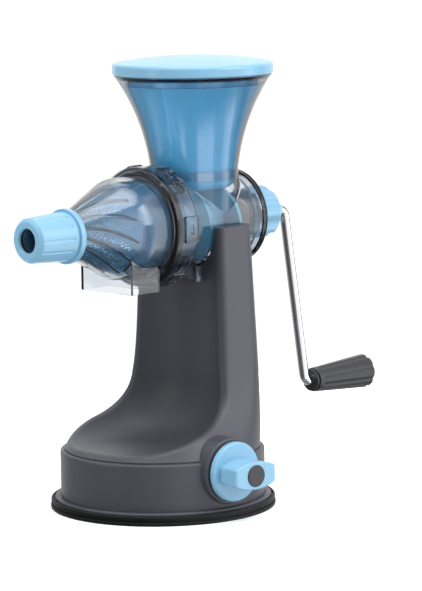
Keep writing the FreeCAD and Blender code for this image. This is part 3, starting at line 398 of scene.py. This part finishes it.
def turned_steel():
    s = Surface("turned_steel", color=(0.55, 0.55, 0.56), roughness=0.3)
    s.set("Metallic", 1.0)
    grooves = s.noise(size=0.002, detail=4.0, stretch=(1.0, 8.0, 1.0))
    s.vary_roughness(grooves, low=0.22, high=0.42)
    return s.material


def nylon():
    s = Surface("natural_nylon", color=(0.72, 0.72, 0.68), roughness=0.4)
    s.scatter_inside(weight=0.2, scale=0.001)
    s.vary_roughness(s.noise(size=0.003), low=0.35, high=0.5)
    return s.material


def dress_nodes():
    """Every node gets the material of its slot, and some get one of their own."""
    by_slot = {
        "base_plastic": dark_plastic(),
        "black_rubber": black_rubber(),
        "blue_plastic": blue_plastic(),
        "blue_inner": inner_blue(),
        "smoky_clear": smoky_plastic(),
        "grip_plastic": grip_plastic(),
        "chrome": chrome(),
        "steel": turned_steel(),
        "nylon": nylon(),
    }
    own = {
        "strainer": strainer_plastic(),
        "auger": auger_plastic(),
        "hopper": hopper_plastic(),
        "lock_ring": ring_plastic(),
    }
    for part in frame["record"]["subparts"]:
        name = part["node"]
        mesh = frame["nodes"][name].data
        mesh.materials.clear()
        mesh.materials.append(own.get(name, by_slot[part["material_slot"]]))


# ---------------------------------------------------------------- floor, lights and room
def make_floor():
    """A round white floor that glows for the camera, so that its edge goes over into the room."""
    angles = [2 * math.pi * i / floor_sides for i in range(floor_sides)]
    rim = [(floor_radius * math.cos(a), floor_radius * math.sin(a), 0.0) for a in angles]
    mesh = bpy.data.meshes.new("floor")
    mesh.from_pydata(rim, [], [tuple(range(floor_sides))])
    floor = bpy.data.objects.new("floor", mesh)
    bpy.context.scene.collection.objects.link(floor)
    s = Surface("floor", color=(floor_color, floor_color, floor_color), roughness=0.7)
    s.set("Specular IOR Level", 0.1)
    s.set("Emission Color", (1.0, 1.0, 1.0, 1.0))
    s.vary_color(s.noise(size=0.5), amount=0.004)
    reach = s.add("ShaderNodeVectorMath", operation="LENGTH")
    s.link(s.where, reach.inputs[0])
    glow = s.fade(reach.outputs["Value"], glow_start * floor_radius, floor_radius, floor_glow, edge_glow)
    ray = s.add("ShaderNodeLightPath").outputs
    to_camera = ray["Is Camera Ray"]
    s.mix_color(s.math("SUBTRACT", 1.0, to_camera), (floor_bounce, floor_bounce, floor_bounce))
    s.link(s.math("MULTIPLY", glow, to_camera), s.shader.inputs["Emission Strength"])
    # reflections look through the floor, so that they see the walls below it too
    choice = s.add("ShaderNodeMixShader")
    s.link(ray["Is Glossy Ray"], choice.inputs[0])
    s.link(s.shader.outputs[0], choice.inputs[1])
    s.link(s.add("ShaderNodeBsdfTransparent").outputs[0], choice.inputs[2])
    s.link(choice.outputs[0], s.tree.nodes["Material Output"].inputs["Surface"])
    mesh.materials.append(s.material)


def softbox(name, azimuth, elevation, distance, width, height, power):
    """An area light that looks at the juicing head, in degrees right of the camera and up."""
    data = bpy.data.lights.new(name, "AREA")
    data.shape = "RECTANGLE"
    data.size = width
    data.size_y = height
    data.energy = power
    light = bpy.data.objects.new(name, data)
    bpy.context.scene.collection.objects.link(light)
    a = camera_azimuth + math.radians(azimuth)
    e = math.radians(elevation)
    away = Vector((math.sin(a) * math.cos(e), -math.cos(a) * math.cos(e), math.sin(e)))
    light.location = Vector((0, 0, axis_z)) + away * distance
    light.rotation_mode = "QUATERNION"
    light.rotation_quaternion = (-away).to_track_quat("-Z", "Y")


class Room(NodeTree):
    """The world: one brightness for each direction, chosen by the kind of ray that looks."""

    def __init__(self):
        world = bpy.data.worlds.new("studio")
        bpy.context.scene.world = world
        world.use_nodes = True
        super().__init__(world.node_tree)
        split = self.add("ShaderNodeSeparateXYZ")
        self.link(self.add("ShaderNodeTexCoord").outputs["Generated"], split.inputs[0])
        x, y, self.rise = split.outputs
        around = self.math("ARCTAN2", x, self.math("MULTIPLY", y, -1.0))
        turns = self.math("DIVIDE", self.math("SUBTRACT", around, camera_azimuth), 2 * math.pi)
        self.around = self.math("FRACT", self.math("ADD", turns, 1.5))

    def walls(self, levels):
        """Upright bands that go over smoothly from one brightness to the next."""
        ramp = self.add("ShaderNodeValToRGB")
        ramp.color_ramp.interpolation = "EASE"
        stops = ramp.color_ramp.elements
        for i, (degrees, level) in enumerate(levels):
            place = degrees / 360.0 + 0.5
            stop = stops[i] if i < len(stops) else stops.new(place)
            stop.position = place
            stop.color = (level, level, level, 1.0)
        self.link(self.around, ramp.inputs["Fac"])
        return ramp.outputs["Color"]

    def choose(self, factor, first, second):
        """The first where the factor is 0, and the second where it is 1."""
        mix = self.add("ShaderNodeMix", data_type="RGBA")
        self.link(factor, mix.inputs["Factor"])
        for socket, value in ((mix.inputs["A"], first), (mix.inputs["B"], second)):
            if isinstance(value, (int, float)):
                socket.default_value = (value, value, value, 1.0)
            else:
                self.link(value, socket)
        return mix.outputs["Result"]


def make_room():
    """White for the camera, and walls in lighter and darker bands for all that they light."""
    room = Room()
    ray = room.add("ShaderNodeLightPath").outputs
    seen = room.choose(ray["Is Glossy Ray"], room.walls(soft_walls), room.walls(mirrored_walls))
    seen = room.choose(ray["Is Transmission Ray"], seen, room.walls(bent_walls))
    seen = room.choose(room.fade(room.rise, ceiling_low, ceiling_high), seen, ceiling)
    seen = room.choose(room.fade(room.rise, pit_high, pit_low), seen, pit)
    seen = room.choose(ray["Is Camera Ray"], seen, white_room)
    background = room.tree.nodes["Background"]
    room.link(seen, background.inputs["Color"])
    background.inputs["Strength"].default_value = 1.0


def make_lights():
    softbox("key", azimuth=62, elevation=30, distance=1.5, width=0.7, height=1.1, power=9)
    softbox("left_strip", azimuth=-60, elevation=15, distance=1.5, width=0.25, height=1.5, power=3)
    softbox("top", azimuth=0, elevation=82, distance=1.4, width=1.1, height=1.1, power=11)


# ---------------------------------------------------------------- scene
make_camera()
make_floor()
make_room()
make_lights()
dress_nodes()

scene = bpy.context.scene
scene.view_settings.view_transform = "Standard"
scene.cycles.max_bounces = clear_bounces
scene.cycles.transmission_bounces = clear_bounces
scene.cycles.transparent_max_bounces = see_through_bounces
